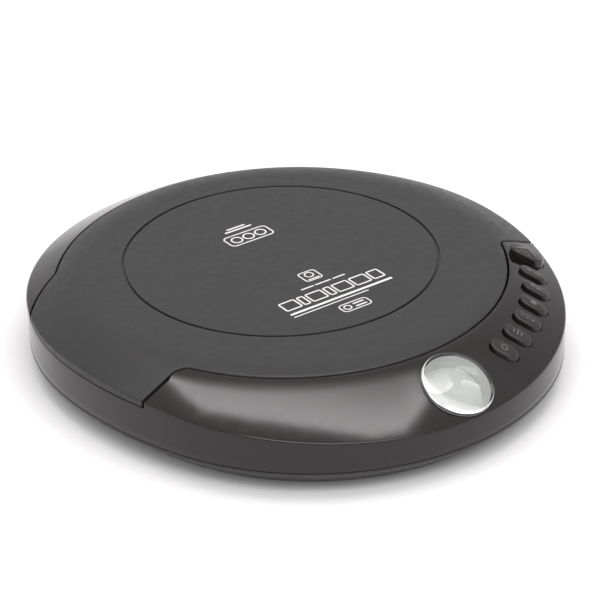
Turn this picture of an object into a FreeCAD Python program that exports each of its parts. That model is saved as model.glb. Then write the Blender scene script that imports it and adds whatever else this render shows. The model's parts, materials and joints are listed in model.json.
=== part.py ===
"""Portable CD player: egg-shaped case, domed lid with two side wings, and the works inside.

Frame: millimetres, +Z up, origin under the middle of the case on the surface it stands on.
The display is at the front (-Y), the lid hinge is at the back (+Y), the jacks are on the
right (+X). The disc turns about the vertical line through (0, SPINDLE_Y).
"""
import FreeCAD, Part
import math
import os

V = FreeCAD.Vector
UP = V(0, 0, 1)
ALONG_X = V(1, 0, 0)

# ---- case outline, seen from above ----
HALF_WIDTH = 75.0          # radius of the rear half circle
HALF_DEPTH = 81.5
SIDE_R = 115.0             # flatter arcs between the rear half circle and the nose
REAR_CENTRE_Y = HALF_DEPTH - HALF_WIDTH
NOSE_REACH = HALF_DEPTH + REAR_CENTRE_Y
# angle of the side arcs, from the rear centre line to the nose arc, that closes the outline
_SLANT = (SIDE_R - NOSE_REACH) / (SIDE_R - HALF_WIDTH)
SIDE_ANGLE = math.pi / 2 - 2 * math.atan(_SLANT)
NOSE_R = SIDE_R - (SIDE_R - HALF_WIDTH) / math.cos(SIDE_ANGLE)
NOSE_CENTRE_Y = REAR_CENTRE_Y - (SIDE_R - HALF_WIDTH) * math.tan(SIDE_ANGLE)

# ---- heights ----
TOP_Z = 27.0               # flat middle of the lid
FOOT_H = 1.0
PARTING_Z = 7.7            # joint between the bottom case and the top case
BEVEL_TOP_Z = 6.9          # the bottom case leans inwards below here
BEVEL = 6.5
WING_Z = 18.7              # lower edge of the lid's side wings
DECK_Z = 17.5              # floor of the disc well
DECK_T = 1.2
BAY_TOP_Z = 18.3           # floor of the well over the battery bay
DISC_Z = 19.5              # underside of a seated disc
WALL = 2.0
SKIN = 1.8                 # lid wall
GAP = 0.45                 # open line between the lid and the case
WING_GAP = 0.5             # extra width of that line along the wings' front edges

# ---- dome: the surface of the lid and the panels, turned about the spindle ----
SPINDLE_Y = 2.75
DOME_FLAT_R = 57.0
DOME_EDGE_R = 26.0
DOME_EDGE_ANGLE = math.radians(26)
DOME_SLOPE_R = 200.0
DOME_END_R = 95.0

# ---- lid ----
LID_R = 63.0               # front edge, about the spindle
RIM_W = 1.4                # upright rim of the case around the lid
LID_REAR_R = 69.8
LID_REAR_Y = 0.1
REAR_KINK = (54.6, 43.4)   # where each wing leaves the rear arc
REAR_WING_MID = (63.3, 38.6)
REAR_WING_END = (70.6, 32.0)
GROOVE_Y = 7.25
GROOVE_R = 46.0
GROOVE_W = 0.8
GROOVE_DEPTH = 0.6
HINGE_Y = 61.0
HINGE_Z = 24.2
PIN_R = 0.6
KNUCKLE_R = 1.25
KNUCKLE_X = (18.8, 21.2)
LINER_R = (54.0, 61.1)     # inner ring of the lid, about the spindle
LINER_Z = (24.2, 25.3)
BRACKET_X = (21.4, 23.8)

# ---- disc and its well ----
WELL_R = 61.5
HUB_R = 7.4                # a disc's hole is 15 mm across
PLATTER_R = 13.5

# ---- keys ----
KEY_RING_R = 62.9          # about the nose centre
KEY_FIRST_ANGLE = -68.6
KEY_PITCH = 7.72
KEY_TURN = math.radians(-49)
KEY_L = 9.2
KEY_W = 4.9
KEY_PROUD = 1.4
KEY_GAP = 0.25
KEY_NAMES = ("mode_key", "bass_key", "program_key", "stop_key", "skip_key", "play_key")
OPEN_POS = (59.6, -33.0)
OPEN_L = 11.4
OPEN_W = 8.0
OPEN_PROUD = 2.7
OPEN_TOP_Z = 28.2
OPEN_BOTTOM_Z = 20.0
SHELF_Z = 14.1

# ---- display window ----
LENS_POS = (1.7, -72.0)
LENS_R = 10.5
LENS_TILT = 27.5           # degrees, as the panel slopes there

# ---- pickup and its drive ----
LENS_REST_X = -24.0
SLED_TRAVEL = 32.0
ROD_R = 1.0
ROD_Z = 11.0
MAIN_ROD_Y = SPINDLE_Y + 14.0
SIDE_ROD_Y = SPINDLE_Y - 13.0
SCREW_R = 1.25
SCREW_Y = SPINDLE_Y - 19.5
SCREW_Z = 9.0
RUN_FIT = 0.05

# ---- inside the case ----
FLOOR_TOP_Z = 3.0
BOARD_Z = (7.6, 8.8)
KEY_BOARD_Z = (12.0, 13.2)
PLATE_Z = (13.0, 14.0)
BAY_X = 29.5
BAY_Y = (31.0, 61.0)
BAY_WALL = 1.2
DOOR_Z = 2.2
DOOR_FRONT_Y = 29.0
CELL_PITCH = 15.0
SCREW_SPOTS = ((-40, -32), (40, -32), (0, -52), (-56, 35), (57, 34))
FOOT_SPOTS = ((-46, -42), (46, -42), (-50, 44), (50, 44))
DAMPER_SPOTS = ((-54, -22.5), (-60, 23), (17, -22.5), (17, 22))
CLIP_X = ((-65.5, -63.0), (-13.5, -11.0))
JACK_Z = 11.6
PHONE_Y = 8.0
DC_Y = 24.0
WHEEL_POS = (66.0, -12.0)
WHEEL_R = 8.0
WHEEL_Z = (10.4, 12.8)


# ---------------------------------------------------------------- shape helpers
def box(x, y, z):
    """Box between the (low, high) pairs x, y and z."""
    corner = V(x[0], y[0], z[0])
    return Part.makeBox(x[1] - x[0], y[1] - y[0], z[1] - z[0], corner)


def rod(r, start, end):
    """Cylinder of radius r from one point to another."""
    start = V(*start)
    way = V(*end) - start
    return Part.makeCylinder(r, way.Length, start, way)


def post(r, x, y, z):
    """Upright cylinder between the heights in z."""
    return Part.makeCylinder(r, z[1] - z[0], V(x, y, z[0]), UP)


def tube(r_in, r_out, x, y, z):
    return post(r_out, x, y, z).cut(post(r_in, x, y, z))


def fuse(shapes):
    shapes = list(shapes)
    return shapes[0].multiFuse(shapes[1:]).removeSplitter()


def group(shapes):
    return Part.makeCompound(list(shapes))


def arc(a, b, c):
    return Part.Arc(V(*a, 0), V(*b, 0), V(*c, 0)).toShape()


def line(a, b):
    return Part.LineSegment(V(*a, 0), V(*b, 0)).toShape()


def polar(r, angle, centre_y=0.0):
    """Point at radius r and an angle in radians about (0, centre_y)."""
    return (r * math.cos(angle), centre_y + r * math.sin(angle))


def prism(face, z):
    """Upright prism of a face drawn at height 0."""
    lifted = face.copy()
    lifted.translate(V(0, 0, z[0]))
    return lifted.extrude(V(0, 0, z[1] - z[0]))


def pill(length, width, centre, turn):
    """Round-ended slot face, its long way turned by an angle from +X."""
    half = length / 2 - width / 2
    r = width / 2
    edges = [line((-half, -r), (half, -r)), arc((half, -r), (half + r, 0), (half, r)),
             line((half, r), (-half, r)), arc((-half, r), (-half - r, 0), (-half, -r))]
    face = Part.Face(Part.Wire(edges))
    face.rotate(V(0, 0, 0), UP, math.degrees(turn))
    face.translate(V(centre[0], centre[1], 0))
    return face


def rounded_plate(length, width, corner, centre, turn):
    """Rectangle face with rounded corners, turned about its centre."""
    core_l = length - 2 * corner
    core_w = width - 2 * corner
    face = Part.makePlane(core_l, core_w, V(-core_l / 2, -core_w / 2, 0)).makeOffset2D(corner)
    face.rotate(V(0, 0, 0), UP, math.degrees(turn))
    face.translate(V(centre[0], centre[1], 0))
    return face


# ---------------------------------------------------------------- case surfaces
def outline(inset):
    """Plan of the case, moved inwards by inset, as a face at height 0."""
    r = HALF_WIDTH - inset
    side_r = SIDE_R - inset
    nose_r = NOSE_R - inset
    shift = SIDE_R - HALF_WIDTH
    mid = polar(side_r, -SIDE_ANGLE / 2, REAR_CENTRE_Y)
    low = polar(side_r, -SIDE_ANGLE, REAR_CENTRE_Y)
    mid = (mid[0] - shift, mid[1])
    low = (low[0] - shift, low[1])
    edges = [arc((r, REAR_CENTRE_Y), (0, REAR_CENTRE_Y + r), (-r, REAR_CENTRE_Y)),
             arc((-r, REAR_CENTRE_Y), (-mid[0], mid[1]), (-low[0], low[1])),
             arc((-low[0], low[1]), (0, NOSE_CENTRE_Y - nose_r), low),
             arc(low, mid, (r, REAR_CENTRE_Y))]
    return Part.Face(Part.Wire(edges))


def dome(inset):
    """Everything under the domed surface, moved inwards by inset."""
    edge_r = DOME_EDGE_R - inset
    slope_r = DOME_SLOPE_R - inset
    edge_z = TOP_Z - DOME_EDGE_R
    sin_a = math.sin(DOME_EDGE_ANGLE)
    cos_a = math.cos(DOME_EDGE_ANGLE)
    slope_x = DOME_FLAT_R - (DOME_SLOPE_R - DOME_EDGE_R) * sin_a
    slope_z = edge_z - (DOME_SLOPE_R - DOME_EDGE_R) * cos_a

    def on_edge(a):
        return V(DOME_FLAT_R + edge_r * math.sin(a), 0, edge_z + edge_r * math.cos(a))

    def on_slope(a):
        return V(slope_x + slope_r * math.sin(a), 0, slope_z + slope_r * math.cos(a))

    end_angle = math.asin((DOME_END_R - slope_x) / slope_r)
    mid_angle = (DOME_EDGE_ANGLE + end_angle) / 2
    top = V(0, 0, TOP_Z - inset)
    rim = on_slope(end_angle)
    foot = V(rim.x, 0, -5)
    centre = V(0, 0, -5)
    edges = [Part.LineSegment(top, on_edge(0)).toShape(),
             Part.Arc(on_edge(0), on_edge(DOME_EDGE_ANGLE / 2), on_edge(DOME_EDGE_ANGLE)).toShape(),
             Part.Arc(on_slope(DOME_EDGE_ANGLE), on_slope(mid_angle), rim).toShape(),
             Part.LineSegment(rim, foot).toShape(),
             Part.LineSegment(foot, centre).toShape(),
             Part.LineSegment(centre, top).toShape()]
    solid = Part.Face(Part.Wire(edges)).revolve(V(0, 0, 0), UP, 360)
    solid.translate(V(0, SPINDLE_Y, 0))
    return solid


def dome_height(x, y):
    """Height of the domed surface over a point."""
    r = math.hypot(x, y - SPINDLE_Y)
    sin_a = math.sin(DOME_EDGE_ANGLE)
    if r < DOME_FLAT_R:
        return TOP_Z
    if r < DOME_FLAT_R + DOME_EDGE_R * sin_a:
        return TOP_Z - DOME_EDGE_R + math.sqrt(DOME_EDGE_R ** 2 - (r - DOME_FLAT_R) ** 2)
    slope_x = DOME_FLAT_R - (DOME_SLOPE_R - DOME_EDGE_R) * sin_a
    slope_z = TOP_Z - DOME_EDGE_R - (DOME_SLOPE_R - DOME_EDGE_R) * math.cos(DOME_EDGE_ANGLE)
    return slope_z + math.sqrt(DOME_SLOPE_R ** 2 - (r - slope_x) ** 2)


def wing_corner(through, slope, round_r):
    """Rounded inner corner between the lid's front circle and a wing's front edge.

    The edge is a line through a point on the right-hand side, rising by slope radians
    outwards. Returns the corner's points on the circle, in the middle and on the line,
    and the line's far end.
    """
    way = (math.cos(slope), math.sin(slope))
    below = (through[0] + round_r * way[1], through[1] - round_r * way[0] - SPINDLE_Y)
    along = below[0] * way[0] + below[1] * way[1]
    reach = (LID_R + round_r) ** 2 - (below[0] ** 2 + below[1] ** 2 - along ** 2)
    step = math.sqrt(reach) - along
    centre = (below[0] + step * way[0], below[1] + step * way[1] + SPINDLE_Y)
    pull = LID_R / (LID_R + round_r)
    on_circle = (centre[0] * pull, SPINDLE_Y + (centre[1] - SPINDLE_Y) * pull)
    on_line = (centre[0] - round_r * way[1], centre[1] + round_r * way[0])
    mid = ((on_circle[0] + on_line[0]) / 2 - centre[0], (on_circle[1] + on_line[1]) / 2 - centre[1])
    scale = round_r / math.hypot(*mid)
    between = (centre[0] + mid[0] * scale, centre[1] + mid[1] * scale)
    out = (84.0 - on_line[0]) / way[0]
    far = (84.0, on_line[1] + out * way[1])
    return on_circle, between, on_line, far


def flip(point):
    return (-point[0], point[1])


def lid_plan():
    """Plan of the lid, running past the case outline at the two wings."""
    kink = REAR_KINK
    end = REAR_WING_END
    past = (84.0, 22.4)
    right = wing_corner((60.5, -23.0), math.radians(13), 2.6)
    left = [flip(p) for p in wing_corner((60.0, -25.7), math.radians(1), 5.0)]
    edges = [arc(kink, (0, LID_REAR_Y + LID_REAR_R), flip(kink)),
             arc(flip(kink), flip(REAR_WING_MID), flip(end)),
             line(flip(end), flip(past)),
             line(flip(past), left[3]),
             line(left[3], left[2]),
             arc(left[2], left[1], left[0]),
             arc(left[0], (0, SPINDLE_Y - LID_R), right[0]),
             arc(right[0], right[1], right[2]),
             line(right[2], right[3]),
             line(right[3], past),
             line(past, end),
             arc(end, REAR_WING_MID, kink)]
    return Part.Face(Part.Wire(edges))


def lid_room(plan, gap=GAP):
    """Plan of the opening for the lid: an even gap, wider along the wings' front edges."""
    room = plan.makeOffset2D(gap)
    lower = plan.makeOffset2D(gap)
    lower.translate(V(0, -WING_GAP, 0))
    fronts = [Part.makePlane(30, 20, V(x, -36, 0)) for x in (-90, 60)]
    for front in fronts:
        room = room.fuse(lower.common(front))
    return room


def lens_place(shape):
    """Put a shape drawn about the origin on the sloping panel at the display window."""
    shape.rotate(V(0, 0, 0), ALONG_X, LENS_TILT)
    shape.translate(V(LENS_POS[0], LENS_POS[1], dome_height(*LENS_POS)))
    return shape


def rim_clearance():
    """Space to leave free for the case's rim around the lid."""
    return prism(lid_plan().makeOffset2D(GAP + RIM_W + 0.3), (0, 30))


def key_spots():
    for i in range(len(KEY_NAMES)):
        yield polar(KEY_RING_R, math.radians(KEY_FIRST_ANGLE + i * KEY_PITCH), NOSE_CENTRE_Y)


# ---- latch line: from the spindle out through the open button ----
LATCH_ANGLE = math.atan2(OPEN_POS[1] - SPINDLE_Y, OPEN_POS[0])


def latch_place(shape):
    """Put a shape drawn along +X from the spindle on the latch line."""
    shape.rotate(V(0, 0, 0), UP, math.degrees(LATCH_ANGLE))
    shape.translate(V(0, SPINDLE_Y, 0))
    return shape


# ---------------------------------------------------------------- lid
def hinge_cuts():
    """Pin bores through the lid's knuckles, and room for the case's brackets."""
    cuts = []
    for side in (1, -1):
        cuts.append(hinge_rod(PIN_R + RUN_FIT, side, (KNUCKLE_X[0] - 1, 24)))
        cuts.append(hinge_rod(KNUCKLE_R + 0.2, side, (BRACKET_X[0] - 0.2, BRACKET_X[1] + 0.2)))
    return cuts[0].multiFuse(cuts[1:])


def lid():
    """Outer lid: a domed skin with a side wall under each wing and a round groove on top."""
    plan = prism(lid_plan(), (WING_Z, 30))
    blank = prism(outline(0.0), (WING_Z, 30)).common(dome(0.0)).common(plan)
    shell = blank.cut(prism(outline(SKIN), (0, 30)).common(dome(SKIN)))
    half = GROOVE_W / 2
    groove = tube(GROOVE_R - half, GROOVE_R + half, 0, GROOVE_Y, (TOP_Z - GROOVE_DEPTH, TOP_Z + 1))
    return shell.cut(groove).cut(hinge_cuts())


def lid_liner():
    """Inner ring of the lid: flat flange, front rib, catch for the latch and hinge knuckles."""
    flange = tube(LINER_R[0], LINER_R[1], 0, SPINDLE_Y, LINER_Z)
    rib = tube(LINER_R[1] - 0.9, LINER_R[1], 0, SPINDLE_Y, (22.5, 25.4))
    rib = rib.cut(box((-70, 70), (44, 70), (20, 30)))
    catch = box((60.6, 62.0), (-3, 3), (18.4, 25)).fuse(box((60.6, 63.0), (-3, 3), (18.4, 19.3)))
    knuckles = [hinge_rod(KNUCKLE_R, side, KNUCKLE_X) for side in (1, -1)]
    solid = fuse([flange, rib, latch_place(catch)] + knuckles).common(dome(SKIN))
    notches = [box((x - 2.6, x + 2.6), (58.5, 65), (20, 25.4)) for x in (-22.6, 22.6)]
    knuckle_room = [hinge_rod(KNUCKLE_R + 0.01, side, KNUCKLE_X) for side in (1, -1)]
    notches = notches[0].multiFuse(notches[1:]).cut(knuckle_room[0].multiFuse(knuckle_room[1:]))
    return solid.cut(notches).cut(hinge_cuts())


def hinge_rod(r, side, x):
    """Cylinder on the hinge line, on the right (side 1) or left (side -1)."""
    return rod(r, (side * x[0], HINGE_Y, HINGE_Z), (side * x[1], HINGE_Y, HINGE_Z))


def hinge_pins():
    return group(hinge_rod(PIN_R, side, (KNUCKLE_X[0] + 0.1, BRACKET_X[1])) for side in (1, -1))


# ---------------------------------------------------------------- top case and disc tray
def side_openings():
    """Holes in the right-hand wall for the jacks and the volume wheel."""
    phone = rod(3.0, (60, PHONE_Y, JACK_Z), (80, PHONE_Y, JACK_Z))
    dc = rod(3.2, (60, DC_Y, JACK_Z), (80, DC_Y, JACK_Z))
    wheel = post(WHEEL_R + 0.4, WHEEL_POS[0], WHEEL_POS[1], (WHEEL_Z[0] - 0.3, WHEEL_Z[1] + 0.3))
    return [phone, dc, wheel]


def latch_room():
    """Space in the rim and tray that the latch slider and the lid's catch move in."""
    slider = box((60.9, 67.5), (-3.6, 3.6), (16.0, 21.6))
    catch = box((60.9, LID_R + GAP), (-3.6, 3.6), (16.0, 30))
    return latch_place(slider.fuse(catch))


def lid_ledge(room):
    """Curved step inside the front of the opening, just under the lid's edge."""
    ring = tube(WELL_R, LID_R + 5, 0, SPINDLE_Y, (DECK_Z, 30)).common(dome(SKIN + 0.12))
    ring = ring.cut(box((-80, 80), (-25.9, 90), (0, 40)))
    return ring.common(prism(room, (0, 30)))


def top_case():
    """Outer cover: the side wall, the panels around the lid, and the rim and ledge of its opening."""
    plan = lid_plan()
    room = lid_room(plan)
    body = prism(outline(0.0), (PARTING_Z, 30)).common(dome(0.0))
    shell = body.cut(prism(outline(WALL), (0, 30)).common(dome(WALL)))
    shell = shell.cut(prism(room, (WING_Z - 0.2, 30)))
    rim = plan.makeOffset2D(GAP + RIM_W).cut(room)
    band = prism(rim, (DECK_Z - DECK_T, 30)).common(body)
    lens_seat = lens_place(post(LENS_R + 1.6, 0, 0, (-2.8, -1.2))).common(body).cut(prism(room, (0, 30)))
    solid = fuse([shell, band, lens_seat, lid_ledge(room)])
    cuts = side_openings() + [latch_room()]
    more = 2 * KEY_GAP
    for spot in key_spots():
        cuts.append(prism(pill(KEY_L + more, KEY_W + more, spot, KEY_TURN), (15, 30)))
    cuts.append(prism(rounded_plate(OPEN_L + more, OPEN_W + more, 3.4, OPEN_POS, KEY_TURN), (15, 30)))
    cuts.append(lens_place(post(LENS_R + 0.05, 0, 0, (-1.6, 5))))
    cuts.append(lens_place(post(LENS_R - 1.0, 0, 0, (-5.2, 0))))
    return solid.cut(cuts[0].multiFuse(cuts[1:]))


def well_deck():
    """Disc well floor, out to the case wall under the wings, with the raised battery roof."""
    floor = box((-90, 90), (-90, 90), (DECK_Z - DECK_T, DECK_Z))
    raised = box((-BAY_X - BAY_WALL, BAY_X + BAY_WALL), (BAY_Y[0] - BAY_WALL, 61.8),
                 (DECK_Z - DECK_T, BAY_TOP_Z))
    return [floor, raised]


def deck_cuts():
    """Room over the cells, the hinge trough and the opening for the turntable and pickup."""
    cells = box((-BAY_X, BAY_X), BAY_Y, (10, BAY_TOP_Z - DECK_T))
    trough = box((-34, 34), (61.8, 69.4), (15.5, 30))
    spin = post(17.5, 0, SPINDLE_Y, (10, 20))
    slot = prism(rounded_plate(61, 20, 3, (-30.5, SPINDLE_Y), 0), (10, 20))
    return [cells, trough, spin, slot]


def hinge_brackets():
    parts = []
    for side in (1, -1):
        x = sorted((side * BRACKET_X[0], side * BRACKET_X[1]))
        leg = box(x, (HINGE_Y - KNUCKLE_R, HINGE_Y + 0.15), (DECK_Z - DECK_T, HINGE_Z))
        parts.append(hinge_rod(KNUCKLE_R, side, BRACKET_X).fuse(leg).cut(hinge_rod(PIN_R, side, BRACKET_X)))
    return parts


def inside_rim():
    """Space inside the case wall and the rim of the lid's opening."""
    return prism(lid_room(lid_plan(), GAP - 0.03), (0, 30)).common(prism(outline(WALL + 0.03), (0, 30)))


def disc_tray():
    """Moulded floor under the lid, with hinge brackets and screw posts."""
    solid = fuse(well_deck()).common(inside_rim())
    cuts = deck_cuts() + [latch_room()]
    solid = solid.cut(cuts[0].multiFuse(cuts[1:]))
    posts = [tube(1.0, 2.7, x, y, (8.9, DECK_Z - 0.4)) for x, y in SCREW_SPOTS]
    return fuse([solid] + hinge_brackets() + posts)


def hinge_trough():
    """Shallow pan under the tray that the lid's rear edge dips into as the lid opens."""
    pan = box((-35.2, 35.2), (60.6, 75), (14.3, DECK_Z - DECK_T)).common(inside_rim())
    cuts = deck_cuts()
    return pan.cut(cuts[0].fuse(cuts[1]))


# ---------------------------------------------------------------- bottom case and door
def door_space(x_half, z, grow=0.0):
    return box((-x_half - grow, x_half + grow), (DOOR_FRONT_Y - grow, 90), z)


def flare(low_inset, low_z, high_inset, high_z):
    """Solid between two plans of the case at different heights."""
    low = outline(low_inset).OuterWire
    high = outline(high_inset).OuterWire
    low.translate(V(0, 0, low_z))
    high.translate(V(0, 0, high_z))
    return Part.makeLoft([low, high], True)


def bottom_blank():
    """Outside of the bottom case: a narrow upright strip over a wide bevel."""
    strip = prism(outline(0.0), (BEVEL_TOP_Z, PARTING_Z - 0.15))
    return strip.fuse(flare(BEVEL, FOOT_H, 0.0, BEVEL_TOP_Z)).removeSplitter()


def bottom_case():
    hollow = flare(BEVEL, FLOOR_TOP_Z, WALL, BEVEL_TOP_Z).fuse(prism(outline(WALL), (BEVEL_TOP_Z, 30)))
    shell = bottom_blank().cut(hollow)
    bay = box((-BAY_X - BAY_WALL, BAY_X + BAY_WALL), (BAY_Y[0] - BAY_WALL, BAY_Y[1] + BAY_WALL), (2, 14.2))
    spine = box((-BAY_X, BAY_X), (BAY_Y[0] - BAY_WALL, BAY_Y[0]), (2, 16.1))
    bay = bay.cut(box((-BAY_X, BAY_X), BAY_Y, (0, 20))).fuse(spine)
    posts = [post(3.2, x, y, (FOOT_H + 0.5, 7.4)) for x, y in SCREW_SPOTS]
    posts += [tube(1.0, 2.4, x, y, (2, PLATE_Z[0] - 1.6)) for x, y in DAMPER_SPOTS]
    solid = fuse([shell, bay] + posts)
    cuts = [box((-BAY_X, BAY_X), BAY_Y, (0, 4)),
            door_space(30.0, (0, 1.8), 0.15),
            door_space(31.0, (1.6, DOOR_Z + 0.12), 0.15)]
    for x, y in SCREW_SPOTS:
        cuts += [post(1.25, x, y, (0, 8)), post(2.6, x, y, (0, 3.2))]
    return solid.cut(cuts[0].multiFuse(cuts[1:]))


def battery_door():
    """Sliding plate whose rear edge is part of the case's own edge."""
    blank = bottom_blank()
    lower = blank.common(door_space(30.0, (0, 1.8)))
    upper = blank.common(door_space(31.0, (1.7, DOOR_Z)))
    plate = lower.fuse(upper).removeSplitter()
    grips = [box((-9, 9), (y, y + 0.9), (0.5, 1.4)) for y in (66.0, 68.0, 70.0, 72.0)]
    return plate.cut(grips[0].multiFuse(grips[1:]))


def rubber_feet():
    return group(post(5.0, x, y, (0, FOOT_H)) for x, y in FOOT_SPOTS)


def case_screws():
    screws = []
    for x, y in SCREW_SPOTS:
        head = post(2.2, x, y, (1.7, 3.2))
        cross = box((x - 1.3, x + 1.3), (y - 0.3, y + 0.3), (1, 2.4))
        cross = cross.fuse(box((x - 0.3, x + 0.3), (y - 1.3, y + 1.3), (1, 2.4)))
        screws.append(head.fuse(post(1.0, x, y, (3.1, 14.5))).cut(cross))
    return group(screws)


# ---------------------------------------------------------------- battery contacts
def cell_lines():
    mid = (BAY_Y[0] + BAY_Y[1]) / 2
    return ((mid - CELL_PITCH / 2, -1), (mid + CELL_PITCH / 2, 1))


def battery_contacts():
    """Pressed plates at the ends of the bay: one joins both cells, two carry the leads."""
    z = (4.0, 14.0)
    mid = (BAY_Y[0] + BAY_Y[1]) / 2
    plates = [box((BAY_X - 0.5, BAY_X), (BAY_Y[0] + 2, BAY_Y[1] - 2), z)]
    for y, _ in cell_lines():
        plates.append(box((-BAY_X, -BAY_X + 0.5), (y - 5.5, y + 5.5), z))
    nubs = []
    for y, side in cell_lines():
        x = -side * (BAY_X - 0.5)
        nubs.append(rod(2.6, (x, y, 9.7), (x + side * 0.8, y, 9.7)))
    plates[0] = plates[0].fuse(nubs[0])
    plates[2] = plates[2].fuse(nubs[1])
    return group(plates)


def battery_springs():
    """One bowed leaf spring for the flat end of each cell."""
    bow = ((0, 5.2), (0.4, 5.2), (5.0, 9.1), (5.0, 10.3), (1.5, 13.4), (1.2, 13.1), (4.6, 10.1),
           (4.6, 9.3), (0, 5.6))
    leaves = []
    for y, side in cell_lines():
        edge = Part.makePolygon([V(u, 0, z) for u, z in bow + bow[:1]])
        leaf = Part.Face(edge).extrude(V(0, 7.0, 0))
        leaf.translate(V(-BAY_X + 0.51, -3.5, 0))
        if side > 0:
            leaf.rotate(V(0, 0, 0), UP, 180)
        leaf.translate(V(0, y, 0))
        leaves.append(leaf)
    return group(leaves)


# ---------------------------------------------------------------- boards
def screw_clearance():
    holes = [post(3.5, x, y, (5, 15)) for x, y in SCREW_SPOTS]
    return holes[0].multiFuse(holes[1:])


def main_board():
    front = box((-80, 80), (-90, -27), BOARD_Z)
    right = box((28, 80), (-27, 29), BOARD_Z)
    blank = front.fuse(right).removeSplitter().common(prism(outline(WALL + 1.2), (0, 30)))
    return blank.cut(screw_clearance())


def board_chips():
    low = BOARD_Z[1]
    spots = ((-26, -40, 12, 12), (-8, -36, 9, 6), (14, -38, 8, 8), (38, -8, 7, 10), (-40, -52, 6, 6))
    chips = []
    for x, y, a, b in spots:
        chips.append(box((x - a / 2, x + a / 2), (y - b / 2, y + b / 2), (low, low + 1.4)))
    return group(chips)


def board_capacitors():
    low = BOARD_Z[1]
    spots = ((34, 6), (34, 13), (34, 20), (-52, -34), (24, -30))
    return group(post(2.5, x, y, (low, low + 5.5)) for x, y in spots)


def key_board():
    reach = (57.5, 68.6)
    ring = tube(reach[0], reach[1], 0, NOSE_CENTRE_Y, KEY_BOARD_Z)
    first = KEY_FIRST_ANGLE - 6
    last = KEY_FIRST_ANGLE + 5 * KEY_PITCH + 4.5
    a = polar(120, math.radians(first), NOSE_CENTRE_Y)
    b = polar(120, math.radians(last), NOSE_CENTRE_Y)
    mid = polar(160, math.radians((first + last) / 2), NOSE_CENTRE_Y)
    centre = (0, NOSE_CENTRE_Y)
    wedge = Part.Face(Part.Wire([line(centre, a), line(a, mid), line(mid, b), line(b, centre)]))
    return ring.common(prism(wedge, KEY_BOARD_Z))


def key_switches():
    """Push switches under the keys: a square body and a round plunger."""
    low = KEY_BOARD_Z[1]
    switches = []
    for spot in key_spots():
        body = prism(rounded_plate(5.2, 5.2, 0.5, spot, KEY_TURN), (low, low + 1.8))
        switches.append(body.fuse(post(1.3, spot[0], spot[1], (low + 1.7, low + 2.4))))
    return group(switches)


# ---------------------------------------------------------------- jacks and volume
def headphone_jack():
    body = box((60.2, 72.6), (PHONE_Y - 3.4, PHONE_Y + 3.4), (BOARD_Z[1], JACK_Z + 3.0))
    nose = rod(2.9, (72.5, PHONE_Y, JACK_Z), (74.7, PHONE_Y, JACK_Z))
    return body.fuse(nose).removeSplitter().cut(rod(1.8, (60.7, PHONE_Y, JACK_Z), (80, PHONE_Y, JACK_Z)))


def dc_jack():
    body = box((58.5, 69.6), (DC_Y - 3.6, DC_Y + 3.6), (BOARD_Z[1], JACK_Z + 3.0))
    nose = rod(2.75, (69.5, DC_Y, JACK_Z), (71.9, DC_Y, JACK_Z))
    return body.fuse(nose).removeSplitter().cut(rod(2.1, (60.5, DC_Y, JACK_Z), (80, DC_Y, JACK_Z)))


def dc_jack_pin():
    return rod(0.85, (60.5, DC_Y, JACK_Z), (70.9, DC_Y, JACK_Z))


def volume_base():
    x, y = WHEEL_POS
    return post(5.0, x, y, (BOARD_Z[1], WHEEL_Z[0] - 0.25)).fuse(post(1.5, x, y, (9.5, WHEEL_Z[1] + 0.3)))


def volume_wheel():
    """Thumb wheel with a notched rim, turning on the control's post."""
    x, y = WHEEL_POS
    wheel = tube(1.5 + RUN_FIT, WHEEL_R, x, y, WHEEL_Z)
    count = 30
    reach = WHEEL_R + 0.1
    notches = []
    for i in range(count):
        a = 2 * math.pi * i / count
        notches.append(post(0.45, x + reach * math.cos(a), y + reach * math.sin(a), (10, 13)))
    return wheel.cut(notches[0].multiFuse(notches[1:]))


# ---------------------------------------------------------------- display
def lcd_lens():
    """Clear window: a disc with a shallow dome."""
    rise = 1.5
    edge = 0.35
    ball_r = (LENS_R ** 2 + rise ** 2) / (2 * rise)
    ball = Part.makeSphere(ball_r, V(0, 0, edge + rise - ball_r))
    blank = post(LENS_R, 0, 0, (-1.55, 4)).common(ball)
    return lens_place(blank)


def lcd_frame():
    """Light ring that holds the display under the window."""
    outer = post(LENS_R - 1.1, 0, 0, (-4.6, -1.6))
    well = Part.makeCone(LENS_R - 2.6, LENS_R - 1.5, 3.0, V(0, 0, -4.6), UP)
    return lens_place(outer.cut(well))


def lcd_glass():
    return lens_place(box((-8.5, 8.5), (-7.0, 7.0), (-5.9, -4.65)))


def lcd_connector():
    return lens_place(box((-7.5, 7.5), (3.0, 5.4), (-7.5, -5.95)))


# ---------------------------------------------------------------- keys
def key(spot):
    """Push key: pill head following the panel, a flange under the panel and a stem."""
    head = prism(pill(KEY_L, KEY_W, spot, KEY_TURN), (17.2, 30)).common(dome(-KEY_PROUD))
    edge = pill(KEY_L - 0.8, KEY_W - 0.8, spot, KEY_TURN)
    cap = prism(edge, (17.2, 30)).common(dome(-KEY_PROUD - 0.35))
    flange = prism(pill(KEY_L + 1.6, KEY_W + 1.6, spot, KEY_TURN), (12, 30))
    flange = flange.common(dome(WALL + 0.3)).cut(dome(WALL + 1.3)).cut(rim_clearance())
    core = prism(pill(KEY_L - 2, KEY_W - 2, spot, KEY_TURN), (17.0, 30)).common(dome(0))
    stem = post(1.2, spot[0], spot[1], (KEY_BOARD_Z[1] + 3.1, 20))
    return fuse([head, cap, flange, core, stem])


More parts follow.
